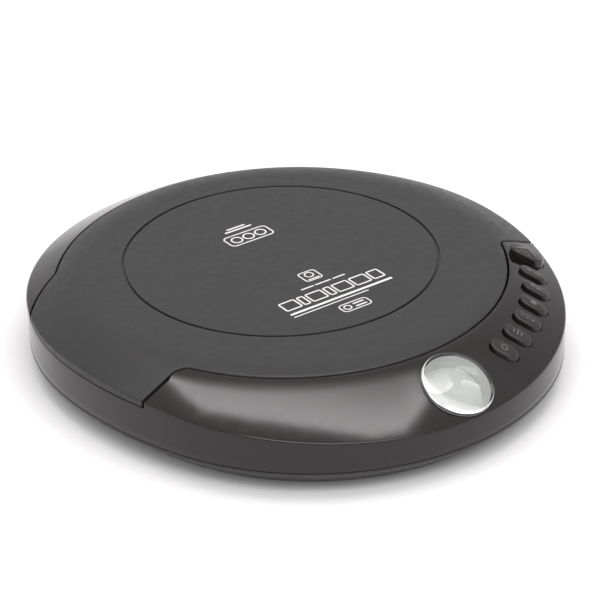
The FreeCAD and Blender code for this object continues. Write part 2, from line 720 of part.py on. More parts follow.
def open_button():
    """Tall button whose slanted foot drives the lid latch outwards as it goes down."""
    head = prism(rounded_plate(OPEN_L, OPEN_W, 3.2, OPEN_POS, KEY_TURN), (OPEN_BOTTOM_Z, OPEN_TOP_Z))
    head = head.common(dome(-OPEN_PROUD))
    flange = prism(rounded_plate(OPEN_L + 1.4, OPEN_W + 1.4, 3.6, OPEN_POS, KEY_TURN), (12, 30))
    flange = flange.common(dome(WALL + 0.3)).cut(dome(WALL + 1.3)).cut(rim_clearance())
    flange = flange.cut(latch_place(box((70.6, 80), (-8, 8), (10, 22))))
    nose_room = latch_place(box((60, 67.2), (-3.4, 3.4), (10, 22.6)))
    head = fuse([head, flange]).cut(nose_room)
    stem = latch_place(box((67.5, 69.4), (-1.8, 1.8), (18.6, 24)))
    corners = [V(67.5, -1.8, 18.7), V(69.4, -1.8, 18.7), V(66.6, -1.8, 15.9), V(64.7, -1.8, 15.9)]
    foot = Part.Face(Part.makePolygon(corners + corners[:1])).extrude(V(0, 3.6, 0))
    return fuse([head, stem, latch_place(foot)])


# ---------------------------------------------------------------- latch
def lid_latch():
    """Slider with a nose over the lid's catch and a slanted slot for the button's foot."""
    plate = box((62.6, 70.2), (-2.8, 2.8), (16.2, 17.4))
    neck = box((64.2, 65.6), (-2.6, 2.6), (16.2, 20.9))
    nose = box((62.2, 65.6), (-2.6, 2.6), (19.5, 20.9))
    corners = [V(66.1, -2.1, 17.5), V(68.4, -2.1, 17.5), V(67.0, -2.1, 16.1), V(64.7, -2.1, 16.1)]
    slot = Part.Face(Part.makePolygon(corners + corners[:1])).extrude(V(0, 4.2, 0))
    return latch_place(fuse([plate, neck, nose]).cut(slot))


def latch_bracket():
    """Shelf under the slider, hung from the deck, with side rails and a seat for the spring."""
    shelf = box((57.6, 74.6), (-3.8, 3.8), (13.6, SHELF_Z))
    hanger = box((57.6, 60.6), (-3.8, 3.8), (13.6, DECK_Z - DECK_T))
    rails = [box((67.6, 71.4), y, (13.6, 17.2)) for y in ((-3.8, -3.0), (3.0, 3.8))]
    ways = [box(u, (-2.6, 2.6), (13.6, 16.1)) for u in ((61.2, 63.8), (68.6, 69.6))]
    return latch_place(fuse([shelf, hanger] + rails + ways))


def open_spring():
    """Upright coil spring that lifts the open button and so locks the latch."""
    wire = 0.18
    low = SHELF_Z + wire + 0.02
    height = OPEN_BOTTOM_Z - wire - 0.03 - low
    helix = Part.makeHelix(height / 4, height, 1.0)
    section = Part.Wire(Part.makeCircle(wire, V(1.0, 0, 0), V(0, 1, 0)))
    coil = Part.Wire(helix).makePipeShell([section], True, True)
    coil.translate(V(73.2, 0, low))
    return latch_place(coil)


# ---------------------------------------------------------------- disc mechanism
def mechanism_plate():
    """Carrier of the motors and rods, hung on four rubber rings."""
    blank = prism(rounded_plate(88, 54, 4, (-23, 1.2), 0), PLATE_Z)
    window = box((-63.2, -14), (SPINDLE_Y - 10.5, SPINDLE_Y + 10.5), (10, 20))
    shaft = post(3.0, 0, SPINDLE_Y, (10, 20))
    blank = blank.common(prism(outline(WALL + 1.5), (0, 30)))
    ends = []
    for y in (MAIN_ROD_Y, SIDE_ROD_Y):
        for x in CLIP_X:
            clip = box(x, (y - 2, y + 2), (ROD_Z - 2, PLATE_Z[0] + 0.2))
            ends.append(clip.cut(rod(ROD_R, (x[0], y, ROD_Z), (x[1], y, ROD_Z))))
    x = CLIP_X[0]
    bearing = box(x, (SCREW_Y - 2.2, SCREW_Y + 2.2), (SCREW_Z - 2.2, PLATE_Z[0] + 0.2))
    bearing = bearing.cut(rod(SCREW_R + RUN_FIT, (x[0], SCREW_Y, SCREW_Z), (x[1], SCREW_Y, SCREW_Z)))
    solid = fuse([blank.cut(window).cut(shaft), bearing] + ends)
    holes = [post(1.9, x, y, (10, 20)) for x, y in DAMPER_SPOTS]
    return solid.cut(holes[0].multiFuse(holes[1:]))


def damper_rings():
    """Rubber rings between the mechanism plate and the bottom case's posts."""
    rings = []
    for x, y in DAMPER_SPOTS:
        lower = tube(1.1, 3.0, x, y, (PLATE_Z[0] - 1.55, PLATE_Z[0]))
        neck = tube(1.1, 1.85, x, y, (PLATE_Z[0] - 0.1, PLATE_Z[1] + 0.1))
        upper = tube(1.1, 3.0, x, y, (PLATE_Z[1], PLATE_Z[1] + 0.8))
        rings.append(fuse([lower, neck, upper]))
    return group(rings)


def damper_screws():
    low = PLATE_Z[0] - 6
    top = PLATE_Z[1] + 0.8
    screws = []
    for x, y in DAMPER_SPOTS:
        screws.append(post(1.0, x, y, (low, top + 0.1)).fuse(post(2.2, x, y, (top, top + 1.0))))
    return group(screws)


def guide_rods():
    rods = []
    for y in (MAIN_ROD_Y, SIDE_ROD_Y):
        rods.append(rod(ROD_R, (CLIP_X[0][0], y, ROD_Z), (CLIP_X[1][1], y, ROD_Z)))
    return group(rods)


def spindle_motor():
    can = tube(1.1, 11.5, 0, SPINDLE_Y, (4.4, PLATE_Z[0]))
    nose = tube(1.1, 2.9, 0, SPINDLE_Y, (PLATE_Z[0] - 0.1, PLATE_Z[1] + 0.4))
    return can.fuse(nose).removeSplitter()


def motor_shaft():
    return post(1.0, 0, SPINDLE_Y, (4.6, 21.0))


def turntable():
    """Platter with a raised hub that a disc's centre hole drops over."""
    platter = post(PLATTER_R, 0, SPINDLE_Y, (17.6, DISC_Z - 0.4))
    seat = post(9.2, 0, SPINDLE_Y, (18, DISC_Z))
    boss = post(4.0, 0, SPINDLE_Y, (15.0, 18))
    hub = post(HUB_R, 0, SPINDLE_Y, (DISC_Z - 1, DISC_Z + 1.9))
    nose = Part.makeCone(HUB_R, HUB_R - 1.8, 1.1, V(0, SPINDLE_Y, DISC_Z + 1.9), UP)
    solid = fuse([platter, seat, boss, hub, nose]).cut(post(1.0, 0, SPINDLE_Y, (10, 21.0)))
    return solid.cut(claw_slots())


def claw_slots():
    slots = []
    for i in range(3):
        slot = box((4.0, HUB_R + 1), (-1.3, 1.3), (DISC_Z + 0.1, DISC_Z + 4))
        slot.rotate(V(0, 0, 0), UP, 120 * i + 45)
        slot.translate(V(0, SPINDLE_Y, 0))
        slots.append(slot)
    return slots[0].multiFuse(slots[1:])


def hub_claws():
    """Three sprung jaws in the hub that hold the disc down."""
    claws = []
    for i in range(3):
        jaw = box((4.05, HUB_R - 0.1), (-1.2, 1.2), (DISC_Z + 0.1, DISC_Z + 2.2))
        jaw.rotate(V(0, 0, 0), UP, 120 * i + 45)
        jaw.translate(V(0, SPINDLE_Y, 0))
        claws.append(jaw)
    return group(claws)


def disc_grip_ring():
    """Rubber ring on the platter."""
    return tube(9.25, 13.2, 0, SPINDLE_Y, (DISC_Z - 0.4, DISC_Z))


def sled_motor():
    can = rod(4.6, (-8.5, SCREW_Y, SCREW_Z), (7, SCREW_Y, SCREW_Z))
    can = can.common(box((-20, 20), (-40, SPINDLE_Y - 11.9), (4.6, 12.9)))
    return can.fuse(rod(1.9, (-9.5, SCREW_Y, SCREW_Z), (-8.4, SCREW_Y, SCREW_Z))).removeSplitter()


def lead_screw():
    """Threaded rod that moves the pickup, drawn with rings in place of its thread."""
    start = CLIP_X[0][0] + 0.1
    end = -9.6
    core = rod(SCREW_R - 0.25, (start, SCREW_Y, SCREW_Z), (end, SCREW_Y, SCREW_Z))
    rings = [rod(SCREW_R, (start, SCREW_Y, SCREW_Z), (CLIP_X[0][1] + 0.4, SCREW_Y, SCREW_Z))]
    count = 15
    for i in range(count):
        x = CLIP_X[0][1] + 2.0 + 3.2 * i
        rings.append(rod(SCREW_R, (x, SCREW_Y, SCREW_Z), (x + 1.6, SCREW_Y, SCREW_Z)))
    return fuse([core] + rings)


def pickup_body():
    """Optical block on two rods: bearing base, and a turret under the disc."""
    x = LENS_REST_X
    base = box((x - 6.5, x + 6.5), (SIDE_ROD_Y - 2.2, MAIN_ROD_Y + 2.4), (8.2, 12.7))
    turret = box((x - 6.5, x + 6.5), (SPINDLE_Y - 8.6, SPINDLE_Y + 8.6), (12.5, 16.0))
    solid = base.fuse(turret).removeSplitter()
    holes = [rod(ROD_R + RUN_FIT, (x - 10, MAIN_ROD_Y, ROD_Z), (x + 10, MAIN_ROD_Y, ROD_Z)),
             rod(ROD_R + RUN_FIT, (x - 10, SIDE_ROD_Y, ROD_Z), (x + 10, SIDE_ROD_Y, ROD_Z))]
    return solid.cut(holes[0].multiFuse(holes[1:]))


def screw_follower():
    """Small nut block that rides on the lead screw, fixed to the optical block."""
    x = LENS_REST_X
    low = SCREW_Y - 2.2
    block = box((x - 4, x + 4), (low, SIDE_ROD_Y - 2.2), (SCREW_Z - 2.0, SCREW_Z + 2.4))
    return block.cut(rod(SCREW_R + 0.1, (x - 5, SCREW_Y, SCREW_Z), (x + 5, SCREW_Y, SCREW_Z)))


def lens_holder():
    x = LENS_REST_X
    cup = post(4.0, x, SPINDLE_Y, (16.0, 17.7)).cut(post(2.05, x, SPINDLE_Y, (16.6, 19)))
    return cup


def objective_lens():
    blank = post(2.0, LENS_REST_X, SPINDLE_Y, (16.65, 18.6))
    ball = Part.makeSphere(3.0, V(LENS_REST_X, SPINDLE_Y, 15.3))
    return blank.common(ball)


PARTS = {
    "lid": lid, "lid_liner": lid_liner, "hinge_pins": hinge_pins, "top_case": top_case,
    "disc_tray": disc_tray, "hinge_trough": hinge_trough, "bottom_case": bottom_case,
    "battery_door": battery_door, "rubber_feet": rubber_feet, "case_screws": case_screws,
    "battery_contacts": battery_contacts, "battery_springs": battery_springs,
    "main_board": main_board, "board_chips": board_chips, "board_capacitors": board_capacitors,
    "key_board": key_board, "key_switches": key_switches,
    "headphone_jack": headphone_jack, "dc_jack": dc_jack, "dc_jack_pin": dc_jack_pin,
    "volume_base": volume_base, "volume_wheel": volume_wheel,
    "lcd_lens": lcd_lens, "lcd_frame": lcd_frame, "lcd_glass": lcd_glass, "lcd_connector": lcd_connector,
    "open_button": open_button, "lid_latch": lid_latch, "latch_bracket": latch_bracket,
    "open_spring": open_spring, "mechanism_plate": mechanism_plate, "damper_rings": damper_rings,
    "damper_screws": damper_screws, "guide_rods": guide_rods, "spindle_motor": spindle_motor,
    "motor_shaft": motor_shaft, "turntable": turntable, "hub_claws": hub_claws,
    "disc_grip_ring": disc_grip_ring, "sled_motor": sled_motor, "lead_screw": lead_screw,
    "pickup_body": pickup_body, "screw_follower": screw_follower, "lens_holder": lens_holder,
    "objective_lens": objective_lens,
}


def main():
    os.makedirs("parts", exist_ok=True)
    shapes = {name: make() for name, make in PARTS.items()}
    for name, spot in zip(KEY_NAMES, key_spots()):
        shapes[name] = key(spot)
    for name, shape in shapes.items():
        shape.exportStep("parts/" + name + ".step")
        box_ = shape.BoundBox
        print("%-18s solids %d valid %s volume %9.1f  x %.1f %.1f y %.1f %.1f z %.1f %.1f" % (
            name, len(shape.Solids), shape.isValid(), shape.Volume,
            box_.XMin, box_.XMax, box_.YMin, box_.YMax, box_.ZMin, box_.ZMax))


main()
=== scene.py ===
"""Looks of the portable CD player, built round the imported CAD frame. Metres, +Z up."""
import json
import math
import bmesh
import bpy
import numpy as np
from mathutils import Matrix, Vector


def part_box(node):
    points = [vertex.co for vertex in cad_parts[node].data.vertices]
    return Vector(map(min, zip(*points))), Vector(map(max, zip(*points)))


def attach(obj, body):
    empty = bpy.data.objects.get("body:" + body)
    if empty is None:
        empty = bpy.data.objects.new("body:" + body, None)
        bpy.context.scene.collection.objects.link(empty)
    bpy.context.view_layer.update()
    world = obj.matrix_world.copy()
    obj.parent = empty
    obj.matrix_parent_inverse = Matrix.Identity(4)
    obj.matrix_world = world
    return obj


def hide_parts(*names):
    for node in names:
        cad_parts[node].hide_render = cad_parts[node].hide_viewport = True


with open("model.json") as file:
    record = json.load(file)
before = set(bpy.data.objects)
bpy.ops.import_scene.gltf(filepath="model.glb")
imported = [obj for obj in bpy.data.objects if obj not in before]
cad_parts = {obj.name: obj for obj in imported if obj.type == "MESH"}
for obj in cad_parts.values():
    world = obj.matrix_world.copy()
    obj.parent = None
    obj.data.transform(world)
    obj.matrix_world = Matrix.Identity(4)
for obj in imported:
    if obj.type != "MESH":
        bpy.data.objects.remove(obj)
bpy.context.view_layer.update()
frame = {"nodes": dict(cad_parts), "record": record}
NODES = frame["nodes"]
SCENE = bpy.context.scene
MM = 0.001


# ------------------------------------------------------------------ node materials
def new_material(name):
    """Material with an empty tree, its Principled shader and its output."""
    material = bpy.data.materials.new(name)
    material.use_nodes = True
    tree = material.node_tree
    tree.nodes.clear()
    shader = tree.nodes.new("ShaderNodeBsdfPrincipled")
    output = tree.nodes.new("ShaderNodeOutputMaterial")
    tree.links.new(shader.outputs["BSDF"], output.inputs["Surface"])
    return material, tree, shader


def object_coords(tree):
    """Coordinates in the object's own space, the same at every pose."""
    return tree.nodes.new("ShaderNodeTexCoord").outputs["Object"]


def noise(tree, scale, detail=4.0, rough=0.5):
    """Noise texture in object space. The scale is in features per metre."""
    node = tree.nodes.new("ShaderNodeTexNoise")
    node.inputs["Scale"].default_value = scale
    node.inputs["Detail"].default_value = detail
    node.inputs["Roughness"].default_value = rough
    tree.links.new(object_coords(tree), node.inputs["Vector"])
    return node.outputs["Fac"]


def span(tree, value, low, high):
    """Spreads a 0.3 to 0.7 noise value over low to high."""
    node = tree.nodes.new("ShaderNodeMapRange")
    node.inputs["From Min"].default_value = 0.3
    node.inputs["From Max"].default_value = 0.7
    node.inputs["To Min"].default_value = low
    node.inputs["To Max"].default_value = high
    tree.links.new(value, node.inputs["Value"])
    return node.outputs["Result"]


def two_tone(tree, value, dark, light):
    """Colour that runs from dark to light over a 0.3 to 0.7 value."""
    ramp = tree.nodes.new("ShaderNodeValToRGB")
    ramp.color_ramp.elements[0].position = 0.3
    ramp.color_ramp.elements[1].position = 0.7
    ramp.color_ramp.elements[0].color = (*dark, 1)
    ramp.color_ramp.elements[1].color = (*light, 1)
    tree.links.new(value, ramp.inputs["Fac"])
    return ramp.outputs["Color"]


def bump(tree, shader, value, height):
    """Bump of a real height in metres."""
    node = tree.nodes.new("ShaderNodeBump")
    node.inputs["Strength"].default_value = 1.0
    node.inputs["Distance"].default_value = height
    tree.links.new(value, node.inputs["Height"])
    tree.links.new(node.outputs["Normal"], shader.inputs["Normal"])


def plastic(name, color, roughness, grain_scale, grain_height, spread=0.12):
    """Moulded plastic: mottled colour, uneven gloss and a fine grain."""
    material, tree, shader = new_material(name)
    dark = [c * (1 - spread) for c in color]
    light = [c * (1 + spread) for c in color]
    cloud = noise(tree, 90, 3)
    tree.links.new(two_tone(tree, cloud, dark, light), shader.inputs["Base Color"])
    gloss = span(tree, noise(tree, 400, 3), roughness * 0.88, roughness * 1.12)
    tree.links.new(gloss, shader.inputs["Roughness"])
    bump(tree, shader, noise(tree, grain_scale, 2), grain_height)
    return material


def metal(name, color, roughness, stretch=(1, 1, 1)):
    """Metal with fine drawn lines along the axis with the smallest stretch."""
    material, tree, shader = new_material(name)
    shader.inputs["Metallic"].default_value = 1.0
    mapping = tree.nodes.new("ShaderNodeMapping")
    mapping.inputs["Scale"].default_value = stretch
    tree.links.new(object_coords(tree), mapping.inputs["Vector"])
    lines = tree.nodes.new("ShaderNodeTexNoise")
    lines.inputs["Scale"].default_value = 1500
    tree.links.new(mapping.outputs["Vector"], lines.inputs["Vector"])
    dark = [c * 0.85 for c in color]
    tree.links.new(two_tone(tree, lines.outputs["Fac"], dark, color), shader.inputs["Base Color"])
    gloss = span(tree, lines.outputs["Fac"], roughness * 0.8, roughness * 1.3)
    tree.links.new(gloss, shader.inputs["Roughness"])
    bump(tree, shader, lines.outputs["Fac"], 4e-6)
    return material


def clear(name, tint, roughness=0.02):
    """Clear moulded plastic with faint unevenness."""
    material, tree, shader = new_material(name)
    shader.inputs["Transmission Weight"].default_value = 1.0
    shader.inputs["IOR"].default_value = 1.49
    shader.inputs["Base Color"].default_value = (*tint, 1)
    wave = noise(tree, 60, 1)
    tree.links.new(span(tree, wave, roughness, roughness * 2), shader.inputs["Roughness"])
    bump(tree, shader, wave, 8e-6)
    return material


LID_GREY = (0.0165, 0.0155, 0.016)
CASE_BROWN = (0.0045, 0.0018, 0.0018)
M = {
    "lid": plastic("satin_lid", LID_GREY, 0.46, 5200, 9e-6, 0.05),
    "case": plastic("gloss_case", CASE_BROWN, 0.1, 700, 1.5e-6, 0.10),
    "base": plastic("satin_base", (0.014, 0.011, 0.011), 0.3, 2500, 6e-6),
    "tray": plastic("tray_black", (0.018, 0.018, 0.019), 0.42, 3500, 12e-6),
    "key": plastic("key_satin", (0.012, 0.009, 0.009), 0.3, 3000, 4e-6),
    "button": plastic("button_satin", (0.013, 0.01, 0.01), 0.26, 3000, 4e-6),
    "door": plastic("door_texture", (0.04, 0.038, 0.037), 0.45, 2600, 14e-6),
    "black": plastic("black_moulding", (0.015, 0.015, 0.016), 0.4, 2500, 9e-6),
    "white": plastic("white_moulding", (0.62, 0.62, 0.6), 0.4, 1800, 7e-6, 0.03),
    "rubber": plastic("rubber", (0.016, 0.016, 0.016), 0.75, 1500, 25e-6),
    "steel": metal("plated_steel", (0.55, 0.55, 0.56), 0.3, (1, 40, 40)),
    "polished": metal("polished_steel", (0.72, 0.72, 0.73), 0.12),
    "clear": clear("clear_window", (0.97, 0.98, 0.975)),
    # signs on the keys and the OPEN chevron: the lighter grey is a painted highlight for the light their
    # raised edges catch, the moulding itself is dark
    "sign": plastic("key_sign_painted_highlight", (0.1, 0.095, 0.092), 0.4, 2500, 4e-6),
    "print": plastic("white_print", (0.72, 0.72, 0.71), 0.5, 3000, 3e-6, 0.04),
    "reflector": plastic("pale_reflector", (0.6, 0.61, 0.6), 0.45, 1500, 5e-6, 0.03),
}
SLOT_LOOK = {
    "lid_plastic": "lid", "case_plastic": "case", "tray_plastic": "tray", "base_plastic": "base",
    "key_plastic": "key", "button_plastic": "button", "door_plastic": "door", "black_plastic": "black",
    "white_plastic": "white", "clear_plastic": "clear", "rubber": "rubber", "steel": "steel",
    "polished_steel": "polished", "motor_can": "steel",
}


def board_material():
    """Circuit board: green lacquer over tracks and pale pads."""
    material, tree, shader = new_material("board_green")
    cells = tree.nodes.new("ShaderNodeTexVoronoi")
    cells.distance = "CHEBYCHEV"
    cells.inputs["Scale"].default_value = 420
    tree.links.new(object_coords(tree), cells.inputs["Vector"])
    color = two_tone(tree, cells.outputs["Distance"], (0.05, 0.13, 0.05), (0.02, 0.07, 0.025))
    tree.links.new(color, shader.inputs["Base Color"])
    tree.links.new(span(tree, noise(tree, 300), 0.28, 0.4), shader.inputs["Roughness"])
    bump(tree, shader, cells.outputs["Distance"], 2e-5)
    return material


def display_material():
    """Liquid crystal panel with the lamp off: pale grey-green with a faint cell grid."""
    material, tree, shader = new_material("display_panel")
    cells = tree.nodes.new("ShaderNodeTexBrick")
    cells.offset = 0.0
    cells.inputs["Scale"].default_value = 260
    cells.inputs["Mortar Size"].default_value = 0.02
    cells.inputs["Color1"].default_value = (0.62, 0.64, 0.60, 1)
    cells.inputs["Color2"].default_value = (0.60, 0.62, 0.585, 1)
    cells.inputs["Mortar"].default_value = (0.57, 0.59, 0.555, 1)
    tree.links.new(object_coords(tree), cells.inputs["Vector"])
    tree.links.new(cells.outputs["Color"], shader.inputs["Base Color"])
    tree.links.new(span(tree, noise(tree, 200), 0.5, 0.6), shader.inputs["Roughness"])
    bump(tree, shader, noise(tree, 900), 3e-6)
    return material


M["board"] = board_material()
M["display"] = display_material()
M["chip"] = plastic("chip_resin", (0.02, 0.02, 0.021), 0.5, 2600, 12e-6)
M["capacitor"] = plastic("capacitor_sleeve", (0.02, 0.03, 0.075), 0.25, 900, 6e-6)
M["lens"] = clear("coated_lens", (0.6, 0.7, 0.95))
SLOT_LOOK.update({"board": "board", "display": "display", "chip": "chip", "capacitor": "capacitor",
                  "lens_glass": "lens"})


def soften(obj, angle=32):
    """Smooth shading, with creases sharper than an angle in degrees kept."""
    obj.data.shade_smooth()
    obj.data.set_sharp_from_angle(angle=math.radians(angle))
    return obj


def dress_nodes():
    """Gives each CAD node the look of its slot and soft shading up to a crease angle."""
    for row in frame["record"]["subparts"]:
        obj = NODES[row["node"]]
        obj.data.materials.clear()
        obj.data.materials.append(M[SLOT_LOOK[row["material_slot"]]])
        soften(obj)


dress_nodes()


# ------------------------------------------------------------------ plan curves, in millimetres
HALF_WIDTH = 75.0            # also the radius of the case's rear half circle
HALF_DEPTH = 81.5
SIDE_R = 115.0               # long arcs that join the rear half circle to the nose
REAR_Y = HALF_DEPTH - HALF_WIDTH
NOSE_REACH = HALF_DEPTH + REAR_Y
SIDE_ANGLE = math.pi / 2 - 2 * math.atan((SIDE_R - NOSE_REACH) / (SIDE_R - HALF_WIDTH))
NOSE_R = SIDE_R - (SIDE_R - HALF_WIDTH) / math.cos(SIDE_ANGLE)
NOSE_Y = REAR_Y - (SIDE_R - HALF_WIDTH) * math.tan(SIDE_ANGLE)
SPINDLE_Y = 1000 * (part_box("turntable")[0].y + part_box("turntable")[1].y) / 2
TOP_Z = 27.0
FLAT_R, EDGE_R, EDGE_ANGLE, SLOPE_R = 57.0, 26.0, math.radians(26), 200.0   # section of the dome
SKIN = 1.8                   # thickness of the lid
WALL = 2.0                   # thickness of the case
LID_R = 63.0                 # front of the lid, about the spindle
GAP = 0.45                   # seam round the lid
WING_GAP = 0.5               # added to the seam along the wings' front edges
PARTING_Z = 7.7              # seam between the upper and the lower case
WING_Z = 18.7                # lower edge of the wings
RIM_LOW_Z = 16.3             # lower edge of the wall that hangs down round the lid's room
RIM_WALL = 1.4
KINK, WING_MID, WING_END, WING_PAST = (54.6, 43.4), (63.3, 38.6), (70.6, 32.0), (84.0, 22.4)
GROOVE_Y, GROOVE_R = 7.25, 46.0
POLE = np.array((0.0, GROOVE_Y))   # every large skin is drawn on rays from the groove's centre


def sweep(centre, r, start, end, count=90):
    """Points of an arc between two angles in degrees."""
    a = np.radians(np.linspace(start, end, count))
    return np.column_stack((centre[0] + r * np.cos(a), centre[1] + r * np.sin(a)))


def through(a, b, c, count=90):
    """Points of the arc through three points."""
    a, b, c = (complex(*p) for p in (a, b, c))
    w = (c - a) / (b - a)
    centre = (b - a) * (w - abs(w) ** 2) / (2j * w.imag) + a
    r = abs(a - centre)
    turn_b = np.angle((b - centre) / (a - centre))
    turn_c = np.angle((c - centre) / (a - centre))
    if turn_b * turn_c < 0 or abs(turn_b) > abs(turn_c):
        turn_c -= math.copysign(2 * math.pi, turn_c)
    z = centre + (a - centre) * np.exp(1j * np.linspace(0, turn_c, count))
    return np.column_stack((z.real, z.imag))


def flip(points):
    """Mirror image of plan points, left for right."""
    return np.asarray(points) * (-1, 1)


def outline(inset=0.0):
    """Closed egg-shaped plan of the case."""
    side = math.degrees(SIDE_ANGLE)
    shift = SIDE_R - HALF_WIDTH
    rear = sweep((0, REAR_Y), HALF_WIDTH - inset, 0, 180, 360)
    left = sweep((shift, REAR_Y), SIDE_R - inset, 180, 180 + side)
    nose = sweep((0, NOSE_Y), NOSE_R - inset, 180 + side, 360 - side, 300)
    right = sweep((-shift, REAR_Y), SIDE_R - inset, 360 - side, 360)
    return np.concatenate((rear, left[1:], nose[1:], right[1:-1]))


def wing_corner(point, slope, r):
    """Rounded inner corner between the lid's front circle and a wing's front edge."""
    slope = math.radians(slope)
    way = np.array((math.cos(slope), math.sin(slope)))
    down = np.array((way[1], -way[0]))
    spindle = np.array((0, SPINDLE_Y))
    below = np.asarray(point) + r * down - spindle
    along = below @ way
    step = math.sqrt((LID_R + r) ** 2 - (below @ below - along ** 2)) - along
    centre = below + step * way + spindle
    on_circle = spindle + (centre - spindle) * LID_R / (LID_R + r)
    on_line = centre - r * down
    mid = (on_circle + on_line) / 2 - centre
    between = centre + mid * r / np.linalg.norm(mid)
    far = on_line + way * (WING_PAST[0] - on_line[0]) / way[0]
    return on_circle, between, on_line, far


def lid_plan():
    """Closed plan of the lid, running past the case outline at the wings."""
    rear, front = (0, 69.9), (0, SPINDLE_Y - LID_R)
    right = wing_corner((60.5, -23.0), 13, 2.6)
    left = [flip(p) for p in wing_corner((60.0, -25.7), 1, 5.0)]
    parts = [through(KINK, rear, flip(KINK), 400),
             through(flip(KINK), flip(WING_MID), flip(WING_END)),
             np.array((flip(WING_PAST), left[3])),
             through(left[2], left[1], left[0], 30),
             through(left[0], front, right[0], 500),
             through(right[0], right[1], right[2], 30),
             np.array((right[3], WING_PAST)),
             through(WING_END, WING_MID, KINK)]
    return np.concatenate(parts)


def grown(points, distance):
    """Closed anticlockwise curve moved outwards."""
    along = np.roll(points, -1, 0) - np.roll(points, 1, 0)
    out = np.column_stack((along[:, 1], -along[:, 0]))
    return points + distance * out / np.linalg.norm(out, axis=1)[:, None]


def reach(points, rays):
    """Distance from the pole to a closed curve along each ray."""
    rel = points - POLE
    angle = np.arctan2(rel[:, 1], rel[:, 0])
    order = np.argsort(angle)
    return np.interp(rays, angle[order], np.hypot(*rel.T)[order], period=2 * math.pi)


def spot(rays, r):
    """Plan points at distance r along the rays."""
    return np.column_stack((POLE[0] + r * np.cos(rays), POLE[1] + r * np.sin(rays)))


def dome(points, inset=0.0):
    """Height of the domed surface over plan points, moved inwards by inset."""
    r = np.hypot(points[:, 0], points[:, 1] - SPINDLE_Y)
    edge_r, slope_r = EDGE_R - inset, SLOPE_R - inset
    sin_a, cos_a = math.sin(EDGE_ANGLE), math.cos(EDGE_ANGLE)
    slope_x = FLAT_R - (SLOPE_R - EDGE_R) * sin_a
    slope_z = TOP_Z - EDGE_R - (SLOPE_R - EDGE_R) * cos_a
    edge = TOP_Z - EDGE_R + np.sqrt(np.maximum(edge_r ** 2 - np.maximum(r - FLAT_R, 0) ** 2, 0))
    slope = slope_z + np.sqrt(np.maximum(slope_r ** 2 - (r - slope_x) ** 2, 0))
    return np.where(r < FLAT_R + edge_r * sin_a, edge, slope)


def dense_rays():
    """Ray angles, closer together where a wing's corners are."""
    rays = np.radians(np.arange(0, 360, 0.4))
    rear = (WING_END, (72, 30), KINK)
    right, left = ((60, -25), (75, -20)), ((-60, -27), (-75, -26))
    corners = [math.atan2(y - GROOVE_Y, x) for x, y in (*right, *left, *rear, *map(flip, rear))]
    extra = [c + np.radians(np.arange(-3, 3, 0.15)) for c in corners]
    rays = np.mod(np.concatenate([rays] + extra), 2 * math.pi)
    return np.unique(np.round(rays, 5))


RAYS = dense_rays()


# ------------------------------------------------------------------ mesh building
def mesh_object(name, points, faces, material, body):
    """Mesh piece from millimetre points, riding on a body."""
    mesh = bpy.data.meshes.new(name)
    mesh.from_pydata([tuple(p) for p in np.asarray(points) * MM], [], faces)
    mesh.materials.append(material)
    work = bmesh.new()
    work.from_mesh(mesh)
    bmesh.ops.remove_doubles(work, verts=work.verts, dist=2e-6)
    bmesh.ops.dissolve_degenerate(work, edges=work.edges, dist=1e-6)
    bmesh.ops.recalc_face_normals(work, faces=work.faces)
    work.to_mesh(mesh)
    work.free()
    obj = bpy.data.objects.new(name, mesh)
    SCENE.collection.objects.link(obj)
    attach(obj, body)
    return obj


def loft(rows, close_profile=False, caps=(False, False)):
    """Quads between rows of points, each row a closed ring. A capped end closes on one point."""
    count = len(rows[0])
    points = np.concatenate(rows)
    faces = []
    total = len(rows)
    for i in range(total if close_profile else total - 1):
        a, b = i * count, (i + 1) % total * count
        faces += [(a + k, a + (k + 1) % count, b + (k + 1) % count, b + k) for k in range(count)]
    for end, row in ((0, 0), (1, total - 1)):
        if caps[end]:
            points = np.vstack((points, rows[row].mean(0)))
            hub, a = len(points) - 1, row * count
            faces += [(hub, a + k, a + (k + 1) % count) for k in range(count)]
    return points, faces


def row(plan, z):
    """Plan points lifted to one height, or to a height each."""
    return np.column_stack((plan, np.broadcast_to(z, len(plan))))


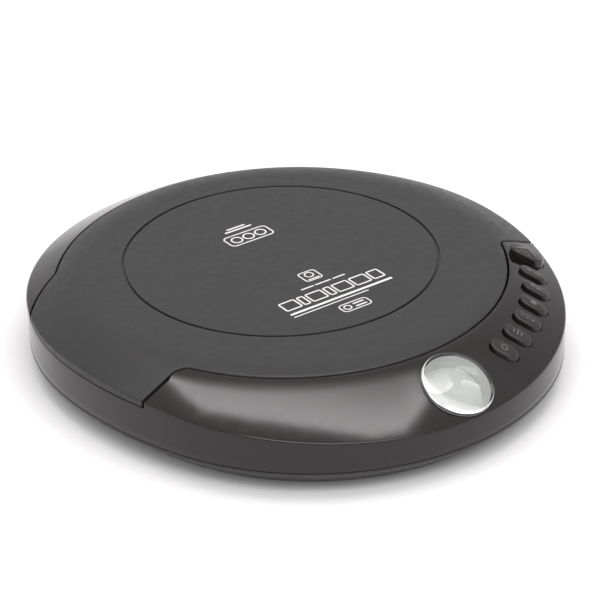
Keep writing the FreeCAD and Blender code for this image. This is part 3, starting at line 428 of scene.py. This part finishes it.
def build_lid():
    """Lid skin: groove round the middle, dome, rounded rim and the underside."""
    edge = np.minimum(reach(lid_plan(), RAYS), reach(outline(), RAYS))
    on_wing = reach(lid_plan(), RAYS) > reach(outline(SKIN), RAYS)
    rim = spot(RAYS, edge)
    rows = [row(spot(RAYS, r), TOP_Z) for r in (1, 15, 30, 42, 45)]
    half, depth, lip = 0.4, 0.6, 0.12   # the groove's half width and depth, and its rounded edges
    for r, z in ((-half - lip, 0), (-half - lip / 3, -lip / 3), (-half, -lip), (-half, -depth),
                 (half, -depth), (half, -lip), (half + lip / 3, -lip / 3), (half + lip, 0)):
        rows.append(row(spot(RAYS, GROOVE_R + r), TOP_Z + z))
    round_r = 0.4                       # rounding of the lid's rim
    start = GROOVE_R + 2 * half
    for t in np.linspace(0, 1, 56):
        plan = spot(RAYS, start + (edge - round_r - start) * t)
        rows.append(row(plan, dome(plan)))
    shoulder = spot(RAYS, edge - round_r)
    top = dome(shoulder)
    for angle in np.radians((25, 50, 75, 90)):
        plan = spot(RAYS, edge - round_r * (1 - math.sin(angle)))
        rows.append(row(plan, top - round_r * (1 - math.cos(angle)) - 0.3 * round_r * math.sin(angle)))
    low = np.where(on_wing, WING_Z, dome(rim, SKIN))
    low = np.minimum(low, rows[-1][:, 2] - 0.2)
    rows.append(row(rim, low + 0.1))
    rows.append(row(spot(RAYS, edge - 0.1), low))
    inner = spot(RAYS, edge - SKIN)
    rows.append(row(inner, np.where(on_wing, low, dome(inner, SKIN))))
    for t in np.linspace(1, 0, 24):
        plan = spot(RAYS, (edge - SKIN) * t + 1.0 * (1 - t))
        rows.append(row(plan, dome(plan, SKIN)))
    points, faces = loft(rows, caps=(True, True))
    return mesh_object("lid_skin", points, faces, M["lid"], "lid")


def room_reach():
    """Opening of the case round the lid, wider along the wings' front edges."""
    plan = grown(lid_plan(), GAP)
    lower = plan - (0, WING_GAP)
    r = reach(plan, RAYS)
    front = (np.abs(spot(RAYS, r)[:, 0]) > 60) & (spot(RAYS, r)[:, 1] < -8)
    return np.where(front, np.maximum(r, reach(lower, RAYS)), r)


def build_case():
    """Upper case: seam round the lid, sloped panel, rounded shoulder, side band and the inside.

    Where the room for the lid reaches the outline, under a wing, there is only a flat ledge.
    """
    room, out, inner = room_reach(), reach(outline(), RAYS), reach(outline(WALL), RAYS)
    ledge_z = WING_Z - 0.2
    wing = room >= inner
    full = room >= out - 0.02
    start = np.minimum(room, inner)
    edge = np.minimum(room, out)
    ease = np.where(full, 0.0, np.minimum(0.35, (out - edge) / 4))       # rounding at the seam
    crease = np.where(full, 0.2, np.minimum(0.55, (out - edge) / 3))     # rounding at the shoulder
    shoulder = spot(RAYS, edge + ease)
    top = np.where(full, ledge_z, dome(shoulder))
    brink = edge - np.where(full, crease, 0)
    rows = [row(spot(RAYS, start), RIM_LOW_Z)]
    rows.append(row(spot(RAYS, start), np.where(wing, ledge_z, top - ease)))
    rows.append(row(spot(RAYS, brink), np.where(wing, ledge_z, top - ease)))
    rows.append(row(spot(RAYS, brink), np.where(full, ledge_z, top - ease)))
    for angle in np.radians((30, 60, 90)):
        plan = spot(RAYS, brink + ease * (1 - math.cos(angle)))
        rows.append(row(plan, np.where(full, ledge_z, top - ease * (1 - math.sin(angle)))))
    for t in np.linspace(0, 1, 22)[1:]:
        r = (edge + ease) * (1 - t) + (out - crease) * t
        plan = spot(RAYS, np.where(full, out - crease, r))
        rows.append(row(plan, np.where(full, ledge_z, dome(plan))))
    z0 = rows[-1][:, 2]
    fall = np.where(full, 0.0, math.tan(EDGE_ANGLE) * crease)
    for t in (0.2, 0.4, 0.6, 0.8, 1.0):
        r = (out - crease) * (1 - t) ** 2 + 2 * t * (1 - t) * out + t * t * out
        z = z0 * (1 - t) ** 2 + 2 * t * (1 - t) * (z0 - fall) + t * t * (z0 - fall - crease)
        rows.append(row(spot(RAYS, r), z))
    for t in (0.3, 0.65):
        rows.append(row(spot(RAYS, out), rows[-1][:, 2] * (1 - t) + (PARTING_Z + 0.2) * t))
    for r, z in ((0, 0.2), (-0.06, 0.06), (-0.2, 0), (-WALL, 0)):
        rows.append(row(spot(RAYS, out + r), PARTING_Z + z))
    under = spot(RAYS, inner)
    rows.append(row(under, np.where(wing, RIM_LOW_Z, dome(under, WALL))))
    rim_out = np.minimum(start + RIM_WALL, inner)
    for t in (0.33, 0.67, 1.0):
        plan = spot(RAYS, inner * (1 - t) + rim_out * t)
        rows.append(row(plan, np.where(wing, RIM_LOW_Z, dome(plan, WALL))))
    rows.append(row(spot(RAYS, rim_out), RIM_LOW_Z))
    points, faces = loft(rows, close_profile=True)
    return mesh_object("case_cover", points, faces, M["case"], "case")


def stadium(length, width, centre=(0, 0), turn=0.0, count=14):
    """Closed round-ended plan, turned about its centre."""
    r = width / 2
    half = length / 2 - r
    ends = sweep((half, 0), r, -90, 90, count), sweep((-half, 0), r, 90, 270, count)
    return placed(np.concatenate(ends), centre, turn)


def rounded(length, width, corner, centre=(0, 0), turn=0.0, count=8):
    """Closed rectangle plan with round corners."""
    x, y = length / 2 - corner, width / 2 - corner
    spots = ((x, y, 0), (-x, y, 90), (-x, -y, 180), (x, -y, 270))
    parts = [sweep((a, b), corner, start, start + 90, count) for a, b, start in spots]
    return placed(np.concatenate(parts), centre, turn)


def placed(plan, centre, turn):
    """Plan points drawn about the origin, turned and moved to a centre."""
    c, s = math.cos(turn), math.sin(turn)
    return plan @ np.array(((c, s), (-s, c))) + centre


def slab(outer, low, high, inner=None):
    """Closed flat piece between two heights, with a hole if an inner curve of equal count is given."""
    rim = [row(outer, high(outer)), row(outer, low(outer))]
    if inner is None:
        return loft(rim, caps=(True, True))
    hole = [row(inner, high(inner)), row(inner, low(inner))]
    return loft([rim[0], *hole, rim[1]], close_profile=True)


def merged(parts):
    """One set of points and faces from several."""
    points, faces, count = [], [], 0
    for p, f in parts:
        points.append(p)
        faces += [tuple(i + count for i in face) for face in f]
        count += len(p)
    return np.concatenate(points), faces


def turned(points, move):
    """Points drawn about the origin, put where a matrix in millimetres says."""
    m = np.array(move)
    return np.asarray(points) @ m[:3, :3].T + m[:3, 3]


KEY_NAMES = ("mode_key", "bass_key", "program_key", "stop_key", "skip_key", "play_key")
KEY_TURN = math.radians(-49)
KEY_L, KEY_W, KEY_PROUD, KEY_SKIRT = 7.8, 4.5, 1.4, 3.2
KEY_ROOM = 0.25                                  # all round a cap in its opening
KEY_ARC_R, KEY_START, KEY_STEP = 62.9, -68.6, 7.72   # arc of the key stems about the nose's centre
KEY_SHIFT = (-1.1, -1.0, -0.7, -0.2, 0.4, 0.6)   # along each key, from the middle of its stem
OPEN_POS, OPEN_L, OPEN_W, OPEN_CORNER = (60.1, -32.6), 9.8, 7.2, 3.0
OPEN_PROUD, OPEN_TOP_Z, OPEN_LOW_Z = 2.7, 28.2, 20.1
CHEVRON_HALF = ((0.02, 1.5), (-2.6, -0.9), (-2.6, -1.9), (0.02, 0.5))
SIGN_RAISE = 0.2                                 # of the chevron over the cap
SIDE_Z = 11.6                                    # centre height of everything on the right side
SIDE_HOLES = ((3.0, 8.0), (3.2, 24.0))           # radius and Y of the two plugs' openings
WHEEL_POS, WHEEL_ROOM_R, WHEEL_ROOM_Z = (66, -12), 8.4, (10.1, 13.1)
UNIT_CIRCLE = sweep((0, 0), 1.0, 0, 360, 97)[:-1]


def key_spot(index):
    """Middle of a key's cap, seen from above."""
    angle, shift = math.radians(KEY_START + KEY_STEP * index), KEY_SHIFT[index]
    return (KEY_ARC_R * math.cos(angle) + shift * math.cos(KEY_TURN),
            NOSE_Y + KEY_ARC_R * math.sin(angle) + shift * math.sin(KEY_TURN))


KEY_SPOTS = [key_spot(index) for index in range(len(KEY_NAMES))]
LENS_R, LENS_X, LENS_Y, LENS_TILT = 10.5, 1.7, -72.0, math.radians(27.5)
LENS_Z = dome(np.array(((LENS_X, LENS_Y),)))[0]
LENS_PLACE = Matrix.Translation((LENS_X, LENS_Y, LENS_Z)) @ Matrix.Rotation(LENS_TILT, 4, "X")
LATCH_ANGLE = math.atan2(OPEN_POS[1] - SPINDLE_Y, OPEN_POS[0])
LATCH_PLACE = Matrix.Translation((0, SPINDLE_Y, 0)) @ Matrix.Rotation(LATCH_ANGLE, 4, "Z")


def bar(plan, low, high, place=None):
    """Straight-sided cutter over a plan."""
    points, faces = loft([row(plan, high), row(plan, low)], caps=(True, True))
    return (turned(points, place) if place is not None else points), faces


def side_bar(r, y, z, x0, x1):
    """Round cutter along X."""
    circle = sweep((y, z), r, 0, 360, 49)[:-1]
    rows = [np.column_stack((np.full(len(circle), x), circle)) for x in (x0, x1)]
    return loft(rows, caps=(True, True))


def cut(obj, parts):
    """Takes the cutters' shapes out of a mesh for good."""
    mesh = bpy.data.meshes.new("cutter")
    points, faces = merged(parts)
    mesh.from_pydata([tuple(p) for p in points * MM], [], faces)
    work = bmesh.new()
    work.from_mesh(mesh)
    bmesh.ops.recalc_face_normals(work, faces=work.faces)
    work.to_mesh(mesh)
    work.free()
    cutter = bpy.data.objects.new("cutter", mesh)
    SCENE.collection.objects.link(cutter)
    tool = obj.modifiers.new("cut", "BOOLEAN")
    tool.operation = "DIFFERENCE"
    tool.solver = "EXACT"
    tool.object = cutter
    bpy.context.view_layer.update()
    result = bpy.data.meshes.new_from_object(obj.evaluated_get(bpy.context.evaluated_depsgraph_get()))
    obj.modifiers.clear()
    obj.data = result
    bpy.data.objects.remove(cutter)


def cut_case(obj):
    """Openings for the caps, the window, the plugs and the wheel, and room for the latch."""
    room = 2 * KEY_ROOM
    plans = [stadium(KEY_L + room, KEY_W + room, spot, KEY_TURN) for spot in KEY_SPOTS]
    plans.append(rounded(OPEN_L + room, OPEN_W + room, OPEN_CORNER + KEY_ROOM, OPEN_POS, KEY_TURN))
    parts = [bar(plan, 12, 31) for plan in plans]
    parts.append(bar(UNIT_CIRCLE * (LENS_R + 0.05), -1.6, 5, LENS_PLACE))
    parts += [side_bar(r, y, SIDE_Z, 60, 80) for r, y in SIDE_HOLES]
    parts.append(bar(UNIT_CIRCLE * WHEEL_ROOM_R + WHEEL_POS, *WHEEL_ROOM_Z))
    cut(obj, parts)
    cut(obj, [bar(UNIT_CIRCLE * (LENS_R - 1.0), -5.2, 1, LENS_PLACE)])
    slider_room, catch_room = rounded(6.6, 7.2, 0.05, (64.2, 0)), rounded(2.55, 7.2, 0.05, (62.17, 0))
    cut(obj, [bar(slider_room, 15.9, 21.6, LATCH_PLACE)])
    cut(obj, [bar(catch_room, 20.0, 30.5, LATCH_PLACE)])


def cap(name, shape, length, width, top, low, edge, node, body, look):
    """Push cap: skirt from the height low, edge of radius edge, slightly crowned top. Replaces node."""
    crown = 0.12
    rows = [row(shape(length, width), low)]
    for angle in np.radians((0, 22, 45, 68, 90)):
        inset = edge * (1 - math.cos(angle))
        plan = shape(length - 2 * inset, width - 2 * inset)
        rows.append(row(plan, top(plan) - edge * (1 - math.sin(angle)) - crown))
    for inset in np.linspace(edge, width / 2 - 0.25, 5)[1:]:
        plan = shape(length - 2 * inset, width - 2 * inset)
        rise = crown * (1 - ((width / 2 - inset) / (width / 2 - edge)) ** 2)
        rows.append(row(plan, top(plan) - crown + rise))
    points, faces = loft(rows, caps=(True, True))
    obj = soften(mesh_object(name, points, faces, look, body), 40)
    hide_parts(node)


def key_marks(index, centre):
    """Generic raised sign on a key: ring, bars, dots, square, double arrow or arrow with bars."""
    size = 0.85   # half the height of an arrow

    def high(plan):
        return dome(plan) + KEY_PROUD

    def low(plan):
        return dome(plan) + KEY_PROUD - 0.3

    def block(along, length, width):
        place = placed(np.array(((along, 0),)), centre, KEY_TURN)[0]
        return slab(rounded(length, width, 0.08, place, KEY_TURN, 3), low, high)

    def arrow(along):
        back, tip = along - size * 0.7, along + size
        return slab(placed(np.array(((back, -size), (tip, 0), (back, size))), centre, KEY_TURN), low, high)

    ring_out, ring_in = (sweep(centre, r, 0, 360, 25)[:-1] for r in (1.0, 0.65))
    signs = (
        [slab(ring_out, low, high, ring_in)],
        [block(along, 0.4, width) for along, width in ((-1.1, 1.2), (0, 1.9), (1.1, 1.5))],
        [block(along, 0.7, 0.7) for along in (-1.6, 0, 1.6)],
        [block(0, 1.7, 1.7)],
        [arrow(-0.9), arrow(0.8)],
        [arrow(-1.0), block(0.7, 0.4, 1.7), block(1.5, 0.4, 1.7)],
    )
    return merged(signs[index])


def build_keys():
    """Six push caps with a sign each, riding on their own bodies."""
    for index, (node, centre) in enumerate(zip(KEY_NAMES, KEY_SPOTS)):
        def shape(length, width, c=centre):
            return stadium(length, width, c, KEY_TURN)
        body = node + "_press"
        low = float(dome(np.array((centre,)))[0]) - KEY_SKIRT
        cap(node + "_cap", shape, KEY_L, KEY_W, lambda p: dome(p) + KEY_PROUD, low, 0.6, node, body,
            M["key"])
        points, faces = key_marks(index, centre)
        # the sign's lighter grey is a painted highlight on its raised edges
        soften(mesh_object(node + "_sign", points, faces, M["sign"], body))


def build_open():
    """Tall button, flat where it would pass the top height, with a raised chevron."""
    def shape(length, width):
        corner = max(0.1, OPEN_CORNER - (OPEN_L - length) / 2)
        return rounded(length, width, corner, OPEN_POS, KEY_TURN)

    def top(plan):
        return np.minimum(dome(plan) + OPEN_PROUD, OPEN_TOP_Z)

    cap("open_cap", shape, OPEN_L, OPEN_W, lambda p: top(p) - SIGN_RAISE, OPEN_LOW_Z, 0.7, "open_button",
        "open_press", M["button"])
    half = np.array(CHEVRON_HALF)
    halves = [placed(plan, OPEN_POS, KEY_TURN) for plan in (half, flip(half[::-1]))]
    points, faces = merged([slab(plan, lambda p: top(p) - 0.6, top) for plan in halves])
    # the chevron's lighter grey is a painted highlight on its raised edges
    mesh_object("open_chevron", points, faces, M["sign"], "open_press")


def build_lens():
    """Clear domed window with a bevelled edge, and the pale reflector ring under it."""
    rise, edge, low, bevel, play = 1.5, 0.35, -1.5, 0.15, 0.02
    ball = (LENS_R ** 2 + rise ** 2) / (2 * rise)
    profile = ((0.5, low), (LENS_R - bevel, low), (LENS_R - play, -1.35), (LENS_R - play, edge - 0.35),
               (LENS_R - bevel, edge - 0.12))
    rows = [row(UNIT_CIRCLE * r, z) for r, z in profile]
    for r in np.linspace(LENS_R - 0.5, 0.5, 24):
        rows.append(row(UNIT_CIRCLE * r, edge + rise - ball + math.sqrt(ball ** 2 - r ** 2) - 0.01))
    points, faces = loft(rows, caps=(True, True))
    lens = soften(mesh_object("window_lens", turned(points, LENS_PLACE), faces, M["clear"], "case"), 50)
    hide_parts("lcd_lens")
    outer, hole, ring_top, ring_low = 9.38, 6.9, -1.62, -4.58
    profile = [(outer, ring_top), (outer, ring_low), (hole, ring_low)]
    profile += [(hole + 2.1 * t ** 1.5, -4.4 + 2.6 * t) for t in np.linspace(0, 1, 8)]
    profile.append((9.15, ring_top))
    points, faces = loft([row(UNIT_CIRCLE * r, z) for r, z in profile], close_profile=True)
    ring = soften(mesh_object("window_reflector", turned(points, LENS_PLACE), faces, M["reflector"], "case"))
    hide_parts("lcd_frame")


def build_prints():
    """Plain white marks on the lid: ring emblem, small badge, outlined blocks, bars and pill."""
    ink, root = 0.035, 0.03

    def high(plan):
        return np.full(len(plan), TOP_Z + ink)

    def low(plan):
        return np.full(len(plan), TOP_Z - root)

    def frame_of(length, width, corner, centre, line):
        return slab(rounded(length, width, corner, centre), low, high,
                    rounded(length - 2 * line, width - 2 * line, max(corner - line, 0.05), centre))

    def ring_of(r, centre, line):
        outer, inner = (sweep(centre, x, 0, 360, 65)[:-1] for x in (r, r - line))
        return slab(outer, low, high, inner)

    def line_of(length, width, corner, centre):
        return slab(rounded(length, width, corner, centre), low, high)

    emblem_y = 23.7
    emblem = [frame_of(15.4, 6.4, 1.6, (0, emblem_y), 0.45)]
    emblem += [ring_of(1.9, (x, emblem_y), 0.5) for x in (-4.2, 0, 4.2)]
    emblem += [line_of(length, 0.7, 0.3, (0, y)) for length, y in ((6.5, 30.6), (9.5, 29.2))]
    badge = [frame_of(6.0, 5.6, 1.1, (0, -7.2), 0.4), ring_of(1.5, (0, -6.6), 0.4)]
    badge += [line_of(4.0, 0.5, 0.2, (0, -9.1))]
    badge += [line_of(length, 0.55, 0.2, (x, -12.6)) for x, length in ((-4.9, 4.5), (0.6, 5.5), (6.2, 4.4))]
    x, space = -17.5, 0.6
    blocks = []
    for width in (5.6, 2.4, 5.6, 2.4, 5.6, 5.6, 4.2):
        blocks.append(frame_of(width, 5.0, 0.7, (x + width / 2, -17.9), 0.5))
        x += width + space
    blocks.append(line_of(35.7, 0.9, 0.2, (0, -22.5)))
    blocks.append(line_of(26.0, 0.4, 0.1, (-4.8, -24.2)))
    pill_y = -28.7
    pill_mark = [frame_of(10.0, 4.4, 1.5, (0.0, pill_y), 0.4), ring_of(1.3, (-2.6, pill_y), 0.4)]
    pill_mark += [line_of(3.8, 0.6, 0.2, (1.6, y)) for y in (-27.9, -29.5)]
    for name, parts in (("emblem_print", emblem), ("badge_print", badge), ("block_print", blocks),
                        ("pill_print", pill_mark)):
        points, faces = merged(parts)
        mesh_object(name, points, faces, M["print"], "lid")


lid_skin = soften(build_lid())
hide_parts("lid")
case_cover = build_case()
cut_case(case_cover)
soften(case_cover)
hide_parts("top_case")
build_keys()
build_open()
build_lens()
build_prints()


# ------------------------------------------------------------------ floor, light, camera, in metres
CAMERA_PLACE = Vector((-0.34653, -0.49026, 0.35303))
CAMERA_TURN = math.radians(-35.36)   # about +Z, from looking along +Y
CAMERA_DIP = math.radians(29.33)
CAMERA_ROLL = math.radians(-1.21)
CARD_Z = 1.0                         # height of the curved softbox


def add_floor():
    """Pale sweep: flat under the player, curving up far behind it."""
    half_width, near, bend, bend_r, top, steps = 3.0, -1.6, 0.9, 0.6, 2.6, 12
    rows = [(near, 0.0), (bend, 0.0)]
    for i in range(1, steps + 1):
        angle = math.radians(90 * i / steps)
        rows.append((bend + bend_r * math.sin(angle), bend_r - bend_r * math.cos(angle)))
    rows.append((bend + bend_r, top))
    mesh = bpy.data.meshes.new("floor")
    points = []
    for y, z in rows:
        points += [(-half_width, y, z), (half_width, y, z)]
    faces = [(2 * i, 2 * i + 1, 2 * i + 3, 2 * i + 2) for i in range(len(rows) - 1)]
    mesh.from_pydata(points, [], faces)
    mesh.shade_smooth()
    floor = bpy.data.objects.new("floor", mesh)
    floor.matrix_world = Matrix.Rotation(CAMERA_TURN, 4, "Z")
    SCENE.collection.objects.link(floor)
    material, tree, shader = new_material("floor_white")
    color = two_tone(tree, noise(tree, 3), (0.86, 0.855, 0.86), (0.88, 0.875, 0.88))
    tree.links.new(color, shader.inputs["Base Color"])
    shader.inputs["Roughness"].default_value = 0.6
    mesh.materials.append(material)


def add_softbox(name, place, size, power):
    """Rectangular softbox facing straight down, square to the camera."""
    data = bpy.data.lights.new(name, "AREA")
    data.shape = "RECTANGLE"
    data.size, data.size_y = size
    data.energy = power
    lamp = bpy.data.objects.new(name, data)
    lamp.location = place
    lamp.rotation_euler = (0, 0, CAMERA_TURN)
    SCENE.collection.objects.link(lamp)


def add_camera():
    """Camera that gives the photographed view."""
    data = bpy.data.cameras.new("camera")
    data.sensor_width = 36.0
    data.lens = 141.5
    data.clip_start = 0.01
    data.clip_end = 20
    camera = bpy.data.objects.new("camera", data)
    turn = Matrix.Rotation(CAMERA_TURN, 4, "Z")
    tilt = Matrix.Rotation(math.pi / 2 - CAMERA_DIP, 4, "X")
    roll = Matrix.Rotation(CAMERA_ROLL, 4, "Z")
    camera.matrix_world = Matrix.Translation(CAMERA_PLACE) @ turn @ tilt @ roll
    SCENE.collection.objects.link(camera)
    SCENE.camera = camera


def in_view(right, away, up):
    """Point given from the camera's side: to its right, away from it and up, in metres."""
    return Matrix.Rotation(CAMERA_TURN, 3, "Z") @ Vector((right, away, up))


def add_crescent():
    """Overhead softbox with a curved near edge, brightest there and fading away from the camera."""
    near = ((-0.50, 0.30), (-0.459, 0.218), (-0.394, 0.118), (-0.325, 0.034), (-0.155, -0.04),
            (0.021, -0.079), (0.162, -0.092), (0.289, -0.09), (0.403, -0.038), (0.455, 0.047),
            (0.497, 0.128))
    far = [(x * 0.8, 0.42) for x, _ in near]
    steps = ((0, 8.5), (0.12, 7.0), (0.3, 4.6), (0.5, 2.6), (0.75, 1.4), (1.0, 0.9))   # way across, glow
    points, glow = [], []
    for t, strength in steps:
        for a, b in zip(near, far):
            points.append(in_view(a[0] * (1 - t) + b[0] * t, a[1] * (1 - t) + b[1] * t, CARD_Z))
            glow.append(strength)
    n = len(near)
    faces = [(i * n + k, i * n + k + 1, i * n + n + k + 1, i * n + n + k)
             for i in range(len(steps) - 1) for k in range(n - 1)]
    mesh = bpy.data.meshes.new("crescent_softbox")
    mesh.from_pydata(points, [], faces)
    mesh.attributes.new("glow", "FLOAT", "POINT").data.foreach_set("value", glow)
    material = bpy.data.materials.new("softbox_cloth")
    material.use_nodes = True
    tree = material.node_tree
    tree.nodes.clear()
    light = tree.nodes.new("ShaderNodeEmission")
    light.inputs["Color"].default_value = (1.0, 0.955, 0.965, 1)
    level = tree.nodes.new("ShaderNodeAttribute")
    level.attribute_name = "glow"
    output = tree.nodes.new("ShaderNodeOutputMaterial")
    tree.links.new(level.outputs["Fac"], light.inputs["Strength"])
    tree.links.new(light.outputs["Emission"], output.inputs["Surface"])
    mesh.materials.append(material)
    card = bpy.data.objects.new("crescent_softbox", mesh)
    card.visible_camera = False
    SCENE.collection.objects.link(card)


def add_lights():
    """Even pale surroundings, a fill from the camera's side and the curved softbox overhead."""
    world = bpy.data.worlds.new("studio")
    world.use_nodes = True
    background = world.node_tree.nodes["Background"]
    background.inputs["Color"].default_value = (1, 1, 1, 1)
    background.inputs["Strength"].default_value = 0.9
    SCENE.world = world
    add_softbox("front_softbox", in_view(0.2, -0.8, 1.1), (1.3, 0.6), 9)
    add_crescent()


add_camera()
add_floor()
add_lights()
SCENE.view_settings.view_transform = "Standard"
